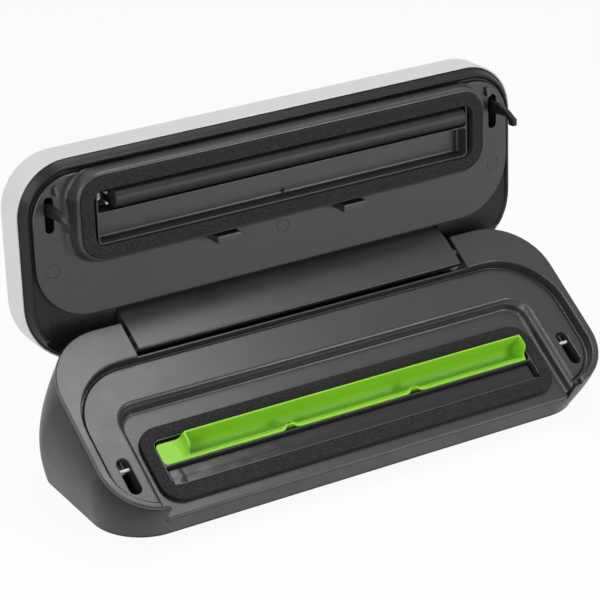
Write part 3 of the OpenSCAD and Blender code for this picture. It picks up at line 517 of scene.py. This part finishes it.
# %% [markdown]
# ## Foam rings
# Both chambers are sealed by a ring of closed-cell foam with square-cut sides and slightly
# soft edges. A ring is a skin that closes on itself: up the outside, over the face, down
# the inside and back.

# %% Foam rings
FOAM_EDGE = 0.7


def foam_ring(name, half, s0, s1, r, widths, face, bed, place, body, node):
    """A ring whose widths at the side, rear and front are given, from its bed up to its face."""
    side, rear, front = widths
    up, soft = (1 if face > bed else -1), FOAM_EDGE

    def edge(a0, a1):
        return [(soft - x, face - up * (soft - y)) for x, y in quarter(0, 0, soft, a0, a1, 4)]

    rings = around(half, s0, s1, r, r, [(0.25, bed), (0, bed + up * 0.5)] + edge(0, 90))
    for d, h in edge(90, 0) + [(0, bed)]:
        rings.append(outline(half - side + d, s0 + rear - d, s1 - front + d, r - 9 + d, r - 9 + d, h))
    ring = skin(name, rings, place, loop=True)
    smooth(ring, 50)
    finish(ring, foam, node, body)


foam_ring("base_foam", 158.2, 66.2, 123.2, 15, (8.4, 9.4, 10.6), -1.7, -8.6, DECK, "base", "base_gasket")
foam_ring("lid_foam", 160.6, 64.4, 122.5, 17, (9.2, 9.2, 9.5), -4.6, 1.4, LID, "lid", "lid_gasket")

# %% [markdown]
# ## The drip tray
# The tray is one thin green moulding. Seen from above it is a long trough with two small
# spouts pushed into its front edge. Its rear wall is tall, and at each end the wall sweeps
# down to the low front in an S. It is drawn in plan first, raised to full height, and then
# everything above the S is cut away, and between the ends everything above the low front.
# A second plan, one wall thickness smaller, hollows it.

# %% Plan of the tray and its side profile
TRAY_X0, TRAY_X1, TRAY_S0, TRAY_S1 = -129.2, 145.5, 79.3, 95.9
TRAY_TOP, TRAY_RIM, TRAY_LOW = 6.5, -2.0, -13.7
SPOUT = [(-8.0, 0), (-6.4, 0.15), (-5.0, 0.7), (-3.0, 2.4), (-1.8, 3.3), (-0.6, 3.7),
         (0.8, 3.6), (2.2, 2.7), (4.4, 0.9), (6.2, 0.2), (8.5, 0)]
SPOUT_CENTRES = (51.0, -50.0)


def arc(cx, cy, r, a0, a1, steps=5):
    return [(cx + x, cy + y) for x, y in quarter(0, 0, r, a0, a1, steps)]


def tray_plan(inset, corner, spouts=True, front=0.0):
    """The tray's outline in (x, s), drawn in by the inset and, at the front, by a bit more."""
    x0, x1, s0, s1 = TRAY_X0 + inset, TRAY_X1 - inset, TRAY_S0 + inset, TRAY_S1 - inset - front
    r = corner
    plan = arc(x0 + r, s0 + r, r, 180, 270) + arc(x1 - r, s0 + r, r, 270, 360)
    plan += arc(x1 - r, s1 - r, r, 0, 90)
    for centre in SPOUT_CENTRES if spouts else ():
        for dx, ds in reversed(SPOUT):
            plan.append((centre + dx, s1 - ds * (1 + 0.12 * inset)))
    return plan + arc(x0 + r, s1 - r, r, 90, 180)


def raised(name, plan, h0, h1, place):
    return skin(name, [[Vector((x, -s, h)) for x, s in plan] for h in (h0, h1)], place)


def sweep(above):
    """What to take away: everything over the S-shaped edge, which is given in (s, h)."""
    edge = [(78.0, TRAY_TOP), (86.2, TRAY_TOP), (88.2, 6.1), (89.6, 5.0), (90.5, 3.2), (91.0, 1.0),
            (91.4, -0.5), (92.1, -1.5), (93.2, TRAY_RIM), (97.5, TRAY_RIM)]
    return edge + [(97.5, above), (78.0, above)]


# %% Model the tray
BAND, TUCK = 1.2, 2.9
BAND_LOW = TRAY_RIM - BAND
trough = raised("drip_tray_fine", tray_plan(0, 1.6), BAND_LOW, TRAY_TOP + 0.5, DECK)
grip = (arc(-145.2, 82.5, 3, 180, 270) + [(-128.6, 79.5), (-128.6, 95.9)]
        + arc(-145.2, 92.9, 3, 90, 180))
ramp = [(-137.5, -2.6), (-137.5, -2.02), (-134.2, -1.75), (-132.0, -1.0), (-130.7, 0.4),
        (-130.0, 2.6), (-129.6, 6.5), (-129.5, 7.0), (-128.6, 7.0), (-128.6, -2.6)]
ramp_block = skin("ramp", [[Vector((x, -s, h)) for x, h in ramp] for s in (79.9, 93.4)], DECK)
below = raised("below", tray_plan(0, 1.6, False, TUCK), TRAY_LOW, BAND_LOW + 0.2, DECK)
combine(trough, "UNION", raised("grip", grip, TRAY_RIM - 1.3, TRAY_RIM, DECK), ramp_block, below)
room = raised("room", tray_plan(1.0, 1.2, False, TUCK), TRAY_LOW, TRAY_RIM, DECK)
bed = ([(80.6, 20), (80.6, TRAY_LOW + 9.3)] + arc(88.6, TRAY_LOW + 9.3, 8.0, 180, 270, 8)
       + arc(89.6, TRAY_LOW + 3.7, 2.4, 270, 360) + [(92.0, 20)])
combine(room, "INTERSECT", prism("bed", -128, 144.3, bed, DECK))
mouth = raised("mouth", tray_plan(1.3, 1.2, True, 0.9), BAND_LOW - 0.1, 20, DECK)
cut(trough, room, mouth, prism("sweep", -150, 150, sweep(30), DECK),
    block("low front", -123.5, 140.5, 84, 99, TRAY_RIM, 40, DECK))
nubs = [disc("nub", x, TRAY_S1 - 0.7, 0.45, TRAY_RIM - 0.5, TRAY_RIM + 0.35, DECK, 3)
        for x in (-96.5, 126.0)]
combine(trough, "UNION", *nubs)
smooth(round_over(trough, 0.25), 40)
finish(trough, green, "drip_tray", "tray")

# %% [markdown]
# ## The seal chamber
# A shallow frame drops into the deck inside the foam. It holds the tray in a wide well and
# the heating bar in a narrow one. The well has round feet, so that spilt liquid wipes out.

# %% Chamber frame
FRAME_FACE, BAR_S, SCREW_R = -2.0, 104.3, 1.7
chamber_frame = block("chamber_frame_fine", -149.5, 149.5, 75.9, 112.3, -15.5, FRAME_FACE, DECK, 5.7, 6)
flange = block("flange", -152.5, 152.5, 72.9, 115.3, -11.9, -10.4, DECK, 6, 6)
combine(chamber_frame, "UNION", flange)
tray_well = flared("tray well", 148.5, 76.9, 96.2, 4, -14.0, FRAME_FACE, 0.3, DECK, foot=0.3)
bar_well = flared("bar well", 148.5, 97.2, 111.3, 1.5, -12.7, FRAME_FACE, 0.3, DECK)
port = disc("port", 120, 86.05, 3.3, -40, 5, DECK, 5)
bolts = [disc("bolt", x, BAR_S, SCREW_R, -40, 5, DECK, 4) for x in (-138, 138)]
cut(chamber_frame, tray_well, bar_well, port, *bolts)
smooth(round_over(chamber_frame, 0.2), 35)
finish(chamber_frame, grey, "chamber_frame", "base")

# %% [markdown]
# ## The coated tape
# A slick woven tape is glued over the heating wire. It never lies quite flat: the wire
# lifts it along the middle, its front edge curls into a thin ridge, and the folded ends
# are thicker. A fine sheet with these heights added point by point shows all of that.

# %% Tape as a wavy strip
TAPE_X, TAPE_HALF, TAPE_H, TAPE_UNDER = 147.0, 6.8, -5.98, -10.6
TAPE_COLUMNS, TAPE_MOST = 420, 0.28


def tape_height(x, v):
    """Height over the flat tape. v runs from -1 at the rear edge to 1 at the front edge."""
    waves = (0.03 * math.sin(x * 0.21 + 3 * v) * math.sin(x * 0.043 + 1)
             + 0.015 * math.sin(x * 0.37 - 2 * v + 0.6))
    wire = 0.12 * math.exp(-(v / 0.22) ** 2)
    ridge = 0.22 * math.exp(-((v - 0.86) / 0.06) ** 2) * min(1, max(0, (x + 137) / 6))
    fold = 0.16 * (1 / (1 + math.exp(-(abs(x) - 137.5) * 3)))
    pinch = 0.2 * math.exp(-((x + 141) / 2.4) ** 2 - ((v - 0.1) / 0.5) ** 2)
    return min(TAPE_MOST, waves + wire + ridge + fold + pinch)


def tape_drop(x, v):
    """How far the tape's edges and ends bend down to the frame."""
    edge, end = max(0, (abs(v) - 0.9) / 0.1), max(0, (abs(x) - TAPE_X + 0.8) / 0.8)
    return 0.5 * edge ** 2 + 0.5 * end ** 2


def tape_point(x, v, h):
    return Vector((x, -(BAR_S + v * TAPE_HALF), h))


columns = [(-TAPE_X + k * 2 * TAPE_X / TAPE_COLUMNS) for k in range(TAPE_COLUMNS + 1)]
across = [-1, -0.97, -0.92, -0.86, -0.8, -0.7, -0.55, -0.4, -0.3, -0.2, -0.1, 0, 0.1, 0.2, 0.3,
          0.4, 0.55, 0.68, 0.76, 0.8, 0.84, 0.88, 0.92, 0.97, 1]
loops = [[tape_point(x, v, TAPE_H + tape_height(x, v) - tape_drop(x, v)) for v in across]
         + [tape_point(x, v, TAPE_UNDER) for v in (1, -1)] for x in columns]
strip = skin("seal_tape_fine", loops, DECK)
smooth(strip, 60)
finish(strip, tape, "seal_tape", "base")

# %% [markdown]
# ## The lid's white shell
# The shell is a shallow dish with walls of three millimetres. Its edge swells into a
# quarter ellipse before the flat top, which gives the long soft highlight around the lid.
# The lip is thinned to little more than a millimetre, so that only a fine white line shows
# beside the dark liner.

# %% Shell
LID_X, LID_REAR, LID_FRONT, EDGE = 198.6, -11.7, 133.6, 17.1
BUTTON_XS, LIGHT_XS, PANEL_S = (-48, 0, 48), (-24, 24, 72), 44


def dome(inset, reach, start, rise, steps=9):
    """A quarter ellipse, from the outer wall up and in to the flat top."""
    return [(inset + reach - reach * math.cos(a), start + rise * math.sin(a))
            for a in [math.radians(90 / steps * k) for k in range(steps + 1)]]


inner = dome(3, 6, 37.0, 4.5)[::-1] + [(3, 30), (3, 21), (1.3, 20.6), (1.3, EDGE + 0.5),
                                       (1.2, EDGE + 0.15), (1.0, EDGE)]
outer = [(0.55, EDGE), (0.2, EDGE + 0.14), (0.02, EDGE + 0.5), (0, 20), (0, 30)]
outer += dome(0, 6, 37.5, 7.0)
shell = skin("lid_shell_fine", around(LID_X, LID_REAR, LID_FRONT, 46, 38, inner + outer), LID)
holes = [disc("hole", x, PANEL_S, 9.4, 38, 50, LID) for x in BUTTON_XS]
holes += [disc("hole", x, PANEL_S, 1.9, 38, 50, LID) for x in LIGHT_XS]
cut(shell, block("pocket", -31, 31, 96.3, 127.5, 40.5, 50, LID), *holes)
smooth(round_over(shell, 0.3), 35)
finish(shell, white, "lid_shell", "lid")

# %% [markdown]
# ## The lid's liner
# From the white edge inward the liner has a sloping border, a narrow lip that lands on the
# rim, a groove, and then the flat panel. All four follow the same rounded outline, so they
# are one skin. The raised frame around the foam stands partly outside the panel, so it is
# a skin of its own that is joined on. Its foot spreads in a soft curve.

# %% Border, lip, groove and panel
side_profile = [(0, 20.0), (0, 17.4), (0.2, 17.15), (0.6, 16.9), (2.4, 13.4), (3.0, 12.0),
                (3.3, 11.45), (3.7, 11.1), (4.3, 11.0), (4.9, 11.15), (5.3, 11.45), (5.5, 11.9)]
side = [outline(197.2 - i, -9.9 + i, 131.9 - i, 44.3 - i, 36.3 - i, h) for i, h in side_profile]
trench = [outline(191.4, -4.0, 126.1, 38.4, 30.6, 12.6), outline(191.2, -3.6, 125.7, 38.2, 30.4, 12.75),
          outline(190.9, 21.6, 124.7, 41.5, 30.1, 12.75), outline(190.5, 22.0, 124.2, 41.2, 29.7, 12.6)]
panel_profile = [(0, 12.2), (0, 10.0), (0.08, 9.55), (0.3, 9.2), (0.65, 8.98), (1.1, 8.9)]
panel = [outline(190.3 - i, 22.3 + i, 124.0 - i, 41 - i, 29.5 - i, h) for i, h in panel_profile]
liner = skin("lid_liner_fine", side + trench + panel, LID)
# The raised frame's foot spreads to the sides and the rear. At the front there is no room for it.
frame_profile = [(-4.6, 10.2), (-4.6, 8.92), (-3.4, 8.8), (-2.5, 8.45), (-1.9, 7.8), (-1.5, 6.8),
                 (-1.1, 4.5), (-0.6, 1.2), (0, -1.2), (0.3, -2.0), (0.75, -2.6), (1.3, -2.92),
                 (1.9, -3.0)]
frame_rings = [outline(163.3 - i, 62.2 + i, 125.2 - max(i, 0), 19.5 - i, 19.5 - max(i, 0), h)
               for i, h in frame_profile]
combine(liner, "UNION", skin("frame", frame_rings, LID))

# %% Wells, slots and the way for the hinge block
back = [skin("back", [outline(188.3, 24.3, 122.0, 39.5, 27.5, h) for h in (10.9, 60)], LID),
        block("foam back", -161.2, 161.2, 63.8, 123.1, 3.5, 60, LID, 17, 8)]
bed_cut = block("foam bed", -160.9, 160.9, 64.1, 122.8, -30, 1.5, LID, 17.3, 10)
chamber_cut = block("chamber", -148.8, 148.8, 73.6, 113.0, -30, 60, LID, 2.5, 3)
way = block("way", -131.6, 131.6, -40, 20.4, -30, 60, LID)
turn = prism("turn", -300, 300, [(15.2 * math.cos(math.radians(a)), 15.2 * math.sin(math.radians(a)))
                                 for a in range(0, 360, 6)], LID)
hook_slots = [flared("slot", 3.2, 86.2, 111.2, 3.0, -30, -8.9, 0.6, LID_FACE, middle=x)
              for x in (-SLOT_X, SLOT_X)]
# Three round marks are left where the mould pushed the liner out.
marks = []
for x, s in ((-177.9, 59.0), (-0.5, 51.3), (177.9, 58.7)):
    outer_mark = disc("mark", x, s, 4.9, 5, 9.15, LID)
    cut(outer_mark, disc("mark", x, s, 4.5, 4, 12, LID))
    marks.append(outer_mark)
cut(liner, *back, bed_cut, chamber_cut, way, turn, *hook_slots, *marks)
smooth(liner, 35)
finish(liner, grey, "lid_liner", "lid")
# The liner is one moulding, but its border faces above this height get the darker charcoal as painted
# shade, so the border reads as lying in shadow.
liner.data.materials.append(charcoal_and_painted_shade)
to_lid = LID.inverted()
PAINTED_SHADE_BORDER_H = 9.4
for face in liner.data.polygons:
    face.material_index = int((to_lid @ face.center).z > PAINTED_SHADE_BORDER_H)
print("border", sum(f.material_index for f in liner.data.polygons), "faces painted darker as shade")

# %% [markdown]
# ## The lid's vacuum chamber
# Two wells sit side by side inside the lid's foam: a wide one over the tray and a narrow
# one that holds the pressing bar. Deep mouldings need draft and round corners, or they
# would not leave the mould, so both cutting tools have round feet and flared mouths.

# %% Lid chamber
chamber = block("lid_chamber_fine", -148.5, 148.5, 73.9, 112.7, -1.6, 12.8, LID, 3, 4)
well = flared("well", 147.3, 75.1, 95.3, 2.5, -8.6, 1.6, 0.35, LID_FACE, foot=1.6)
channel_tool = flared("channel", 147.3, 96.6, 111.7, 1.2, -11.2, 1.6, 0.35, LID_FACE, foot=0.8)
valve = disc("valve", 0, 77.6, SCREW_R, -30, 60, LID, 5)
screw = disc("screw", -143, BAR_S, SCREW_R, -30, 60, LID, 5)
cut(chamber, well, channel_tool, valve, screw)
smooth(round_over(chamber, 0.2), 35)
finish(chamber, grey, "lid_chamber", "lid")

# %% [markdown]
# ## The pressing bar
# A half-round strip of firm rubber presses the bag onto the tape. It is moulded with
# rounded ends, which a stack of shrinking half circles gives.

# %% Pressure strip
STRIP_H, STRIP_R, STRIP_X0, STRIP_X1, STRIP_END = 1.6, 7.0, -135.6, 145.0, 0.9


def half_round(x, r):
    points = [Vector((x, -(BAR_S + r * math.cos(a)), STRIP_H - r * math.sin(a)))
              for a in [math.radians(180 / 24 * k) for k in range(25)]]
    return points + [Vector((x, -(BAR_S - r * f), STRIP_H)) for f in (0.5, 0, -0.5)]


ends = [(0, STRIP_R - STRIP_END)]
ends += [(STRIP_END - STRIP_END * math.cos(a), STRIP_R - STRIP_END + STRIP_END * math.sin(a))
         for a in FIFTHS]
middle = [(STRIP_X0 + 281 * k / 40, STRIP_R) for k in range(1, 40)]
stations = [(STRIP_X0 + d, r) for d, r in ends] + middle
stations += [(STRIP_X1 - d, r) for d, r in reversed(ends)]
roll = skin("pressure_strip_fine", [half_round(x, r) for x, r in stations], LID)
smooth(roll, 50)
finish(roll, strip_rubber, "pressure_strip", "bar")

# %% [markdown]
# ## The latch hooks
# Each hook is a flat claw. It hangs from the cross shaft, narrows as it leaves the lid and
# ends in a barb that catches under the deck. A smooth outline is drawn and given
# its thickness, and the edges are rounded last.

# %% Hooks
SHAFT_S, SHAFT_H = 102.3, 25.5
CLAW = [(107.2, 24.0), (106.8, 18.0), (106.8, 8.0), (106.5, 1.0), (105.7, -5.0), (104.4, -9.6),
        (102.6, -13.4), (101.2, -15.6), (100.5, -17.4), (100.2, -18.9), (95.3, -18.9),
        (94.7, -18.3), (94.7, -13.3), (95.1, -12.9), (97.6, -12.8), (98.9, -11.8), (99.6, -9.8),
        (99.5, -4.0), (98.7, 3.0), (98.2, 9.0), (98.2, 18.0), (97.3, 24.0)]
CLAW += arc(SHAFT_S, SHAFT_H, 5.2, 190, -10, 10)
for x, node in ((-SLOT_X, "hook_left"), (SLOT_X, "hook_right")):
    claw = prism(node + "_fine", x - 1.8, x + 1.8, CLAW, LID)
    cut(claw, prism("shaft", x - 5, x + 5, arc(SHAFT_S, SHAFT_H, 2.5, 0, 345, 23), LID))
    smooth(round_over(claw, 0.55, 3), 40)
    finish(claw, charcoal_and_painted_shade, node, "latch")

# %% [markdown]
# ## Everything that keeps its first shape
# Brackets, pins, screws and the inner pump already have the right shape. They only get
# their finish. A copy with softened corners stands in for each moulding whose edges can
# be seen, because a perfectly sharp edge never catches the light.

# %% Finishes for the frame's own pieces
finish_of = {
    "charcoal_plastic": charcoal_and_painted_shade, "grey_plastic": grey, "white_plastic": white,
    "green_plastic": green, "foam": foam, "rubber": rubber, "slick_tape": tape, "brass": brass,
    "steel": steel, "black_plastic": black, "button_plastic": pale}
spare = {
    "bar_ceramic": moulded("bar moulding", (0.45, 0.42, 0.35), 0.6),
    "ribbon_steel": metal("ribbon", (0.6, 0.52, 0.4), 0.35),
    "clear_hose": moulded("milky hose", (0.55, 0.55, 0.52), 0.3),
    "board_green": moulded("circuit board", (0.02, 0.16, 0.05), 0.4),
    "winding": moulded("winding", (0.28, 0.13, 0.05), 0.45),
    "lens_plastic": moulded("lens", (0.55, 0.75, 0.55), 0.2)}
for name, node in frame["nodes"].items():
    node.data.materials.clear()
    node.data.materials.append(finish_of.get(slot_of[name]) or spare[slot_of[name]])

# The switch pins' stems behind the crossbars get black plastic as painted shade, so they sink into the
# dark of their slots; the crossbars keep the pins' own finish.
PAINTED_STEM_SHADE_EDGE_S = 91.2
for name in ("switch_pin_left", "switch_pin_right"):
    node = frame["nodes"][name]
    node.data.materials.append(black)
    to_deck = DECK.inverted() @ node.matrix_world
    for face in node.data.polygons:
        face.material_index = int(-(to_deck @ face.center).y < PAINTED_STEM_SHADE_EDGE_S)


# %% Softened copies
SOFT_EDGES = {
    "hinge_block": 0.7, "bag_stops": 0.8, "hook_guides": 0.4, "latch_lever": 0.6,
    "control_panel": 0.3, "vacuum_button": 0.8, "seal_button": 0.8, "mode_button": 0.8,
    "rubber_feet": 0.5, "bar_holder": 0.3, "bottom_cover": 0.4}


def soften(node, width):
    source = frame["nodes"][node]
    copy = bpy.data.objects.new("soft_" + node, source.data.copy())
    bpy.context.scene.collection.objects.link(copy)
    mesh = bmesh.new()
    mesh.from_mesh(copy.data)
    bmesh.ops.remove_doubles(mesh, verts=mesh.verts, dist=0.00001)
    mesh.to_mesh(copy.data)
    mesh.free()
    smooth(round_over(copy, width, angle=40))
    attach(copy, source["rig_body"])
    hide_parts(node)
    print(node, len(copy.data.polygons), "faces")


for node, width in SOFT_EDGES.items():
    soften(node, width)

# %% [markdown]
# ## Camera, floor and light
# A long lens from above and the left keeps the edges nearly parallel, as in a catalogue.
# The floor and backdrop are plain. Five soft lamps stand around the machine. The one
# overhead lays a broad sheen on the deck, the key stands high on the left, and three small
# ones low down draw the bright lines along the edges and lift the front.

# %% Camera
AZIMUTH, ELEVATION, DISTANCE = math.radians(31.9), math.radians(25.41), 1.831
right = Vector((math.cos(AZIMUTH), -math.sin(AZIMUTH), 0))
ahead = Vector((math.sin(AZIMUTH) * math.cos(ELEVATION),
                math.cos(AZIMUTH) * math.cos(ELEVATION), -math.sin(ELEVATION)))
above = right.cross(ahead)
aim = Vector((0, 0.02916, 0.096265)) + right * 0.00426 - above * 0.00169
eye = aim - ahead * DISTANCE
SENSOR, FOCAL, FRAME = 36, 2623.76, 600
data = bpy.data.cameras.new("camera")
data.sensor_width, data.lens = SENSOR, SENSOR * FOCAL / FRAME
camera = bpy.data.objects.new("camera", data)
camera.matrix_world = Matrix.Translation(eye) @ Matrix((right, above, -ahead)).transposed().to_4x4()
bpy.context.scene.collection.objects.link(camera)
bpy.context.scene.camera = camera


# %% Floor and world
def white_when_seen(tree):
    """1 for rays from the camera, off a glossy surface or through something clear, else 0."""
    path = tree.nodes.new("ShaderNodeLightPath")
    total = path.outputs["Is Camera Ray"]
    for kind in ("Is Glossy Ray", "Is Transmission Ray"):
        seen = tree.nodes.new("ShaderNodeMath")
        seen.operation = "MAXIMUM"
        tree.links.new(total, seen.inputs[0])
        tree.links.new(path.outputs[kind], seen.inputs[1])
        total = seen.outputs[0]
    return total


FLOOR_WHITE, WORLD_LEVEL = 0.93, 0.3
floor_mesh = bpy.data.meshes.new("floor")
S = 6.0
floor_mesh.from_pydata([(-S, -S, 0), (S, -S, 0), (S, S, 0), (-S, S, 0)], [], [(0, 1, 2, 3)])
floor = bpy.data.objects.new("floor", floor_mesh)
bpy.context.scene.collection.objects.link(floor)
paint = bpy.data.materials.new("pale floor")
paint.use_nodes = True
tree = paint.node_tree
tree.nodes.clear()
out = tree.nodes.new("ShaderNodeOutputMaterial")
mixed = tree.nodes.new("ShaderNodeMixShader")
matte = tree.nodes.new("ShaderNodeBsdfDiffuse")
matte.inputs[0].default_value = (0.8, 0.8, 0.8, 1)
glow = tree.nodes.new("ShaderNodeEmission")
glow.inputs[0].default_value = (1, 1, 1, 1)
share = tree.nodes.new("ShaderNodeMath")
share.operation = "MULTIPLY"
share.inputs[1].default_value = FLOOR_WHITE
tree.links.new(white_when_seen(tree), share.inputs[0])
tree.links.new(share.outputs[0], mixed.inputs[0])
tree.links.new(matte.outputs[0], mixed.inputs[1])
tree.links.new(glow.outputs[0], mixed.inputs[2])
tree.links.new(mixed.outputs[0], out.inputs[0])
floor_mesh.materials.append(paint)

world = bpy.data.worlds.new("studio")
bpy.context.scene.world = world
world.use_nodes = True
tree = world.node_tree
tree.nodes.clear()
out = tree.nodes.new("ShaderNodeOutputWorld")
back = tree.nodes.new("ShaderNodeBackground")
level = tree.nodes.new("ShaderNodeMapRange")
level.inputs["To Min"].default_value, level.inputs["To Max"].default_value = WORLD_LEVEL, 1.0
tree.links.new(white_when_seen(tree), level.inputs[0])
tree.links.new(level.outputs[0], back.inputs[1])
tree.links.new(back.outputs[0], out.inputs[0])


# %% Lamps
def lamp(name, place, target, size, power):
    data = bpy.data.lights.new(name, "AREA")
    data.shape, data.energy = "RECTANGLE", power
    data.size, data.size_y = size
    item = bpy.data.objects.new(name, data)
    item.location = Vector(place)
    item.rotation_euler = (Vector(target) - Vector(place)).to_track_quat("-Z", "Y").to_euler()
    bpy.context.scene.collection.objects.link(item)


lamp("overhead", (0.17, -0.05, 1.15), (0.17, -0.05, 0), (0.45, 0.6), 5.5)
lamp("key", (-1.5, -0.5, 1.2), (0, 0, 0.1), (1.0, 1.0), 3.5)
lamp("glint", (-0.95, 0.1, 0.8), (-0.1, 0, 0.12), (0.15, 0.8), 2.5)
lamp("corner", (-1.0, -0.72, 0.35), (-0.1, 0, 0.08), (0.25, 0.6), 4)
lamp("front", (0.64, -1.12, 0.27), (0, 0, 0.12), (0.3, 0.46), 5)
bpy.context.scene.view_settings.view_transform = "Standard"
